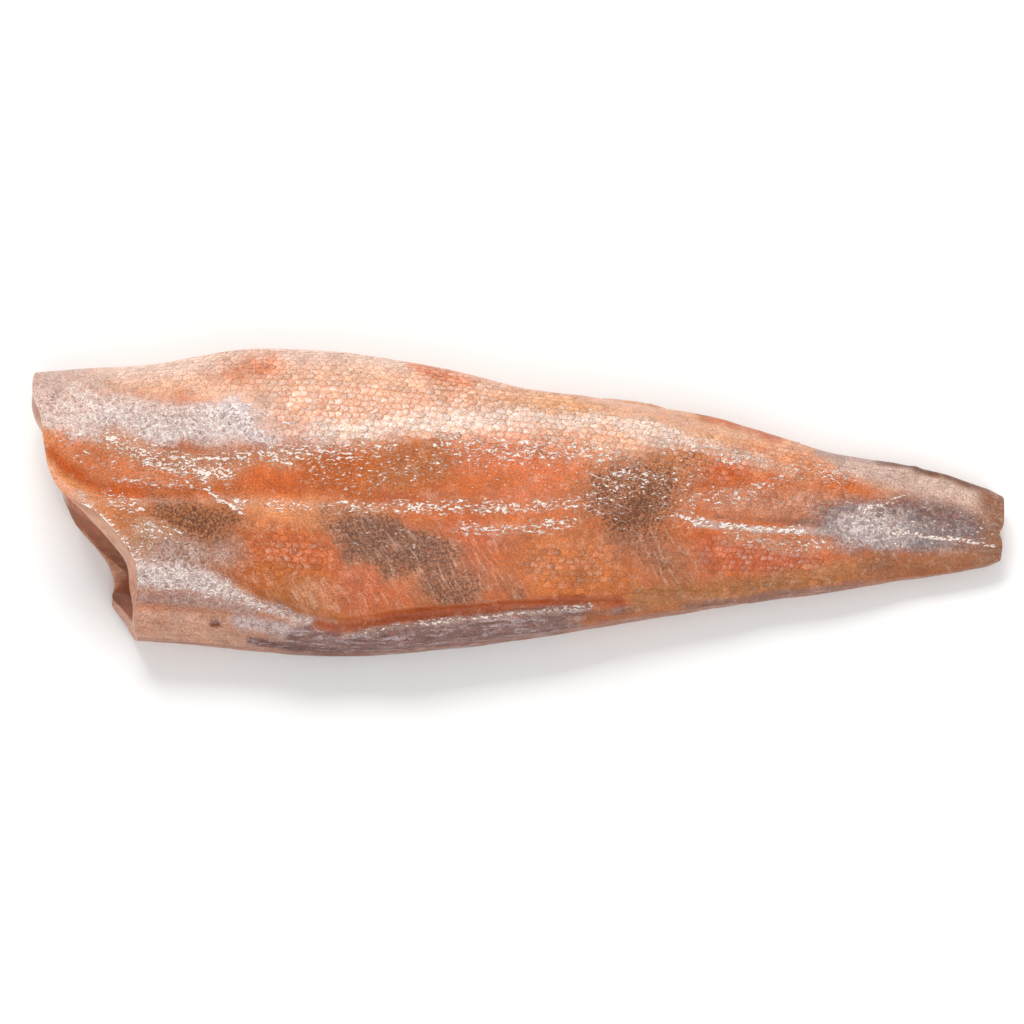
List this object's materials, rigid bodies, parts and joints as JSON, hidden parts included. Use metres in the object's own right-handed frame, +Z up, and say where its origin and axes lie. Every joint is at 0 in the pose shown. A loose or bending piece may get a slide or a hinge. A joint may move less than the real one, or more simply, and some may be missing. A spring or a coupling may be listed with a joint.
{
  "type": "smoked fish",
  "caption": "Headless, gutted smoked fish trunk with fins and tail fin cut off, lying on its side, its belly hollow open at the slanting head cut.",
  "frame": {"origin": "on the table, under the middle of the trunk's bounding box", "axes": "+X from the head cut to the tail cut, +Y from belly to back, +Z up from the table"},
  "size_m": [0.2806, 0.0874, 0.0423],
  "materials": {
    "smoked_skin": "oily scaled fish skin, golden orange with brown bars and silver patches"
  },
  "bodies": {
    "root": {"fish_trunk": "smoked_skin"}
  },
  "joints": []
}
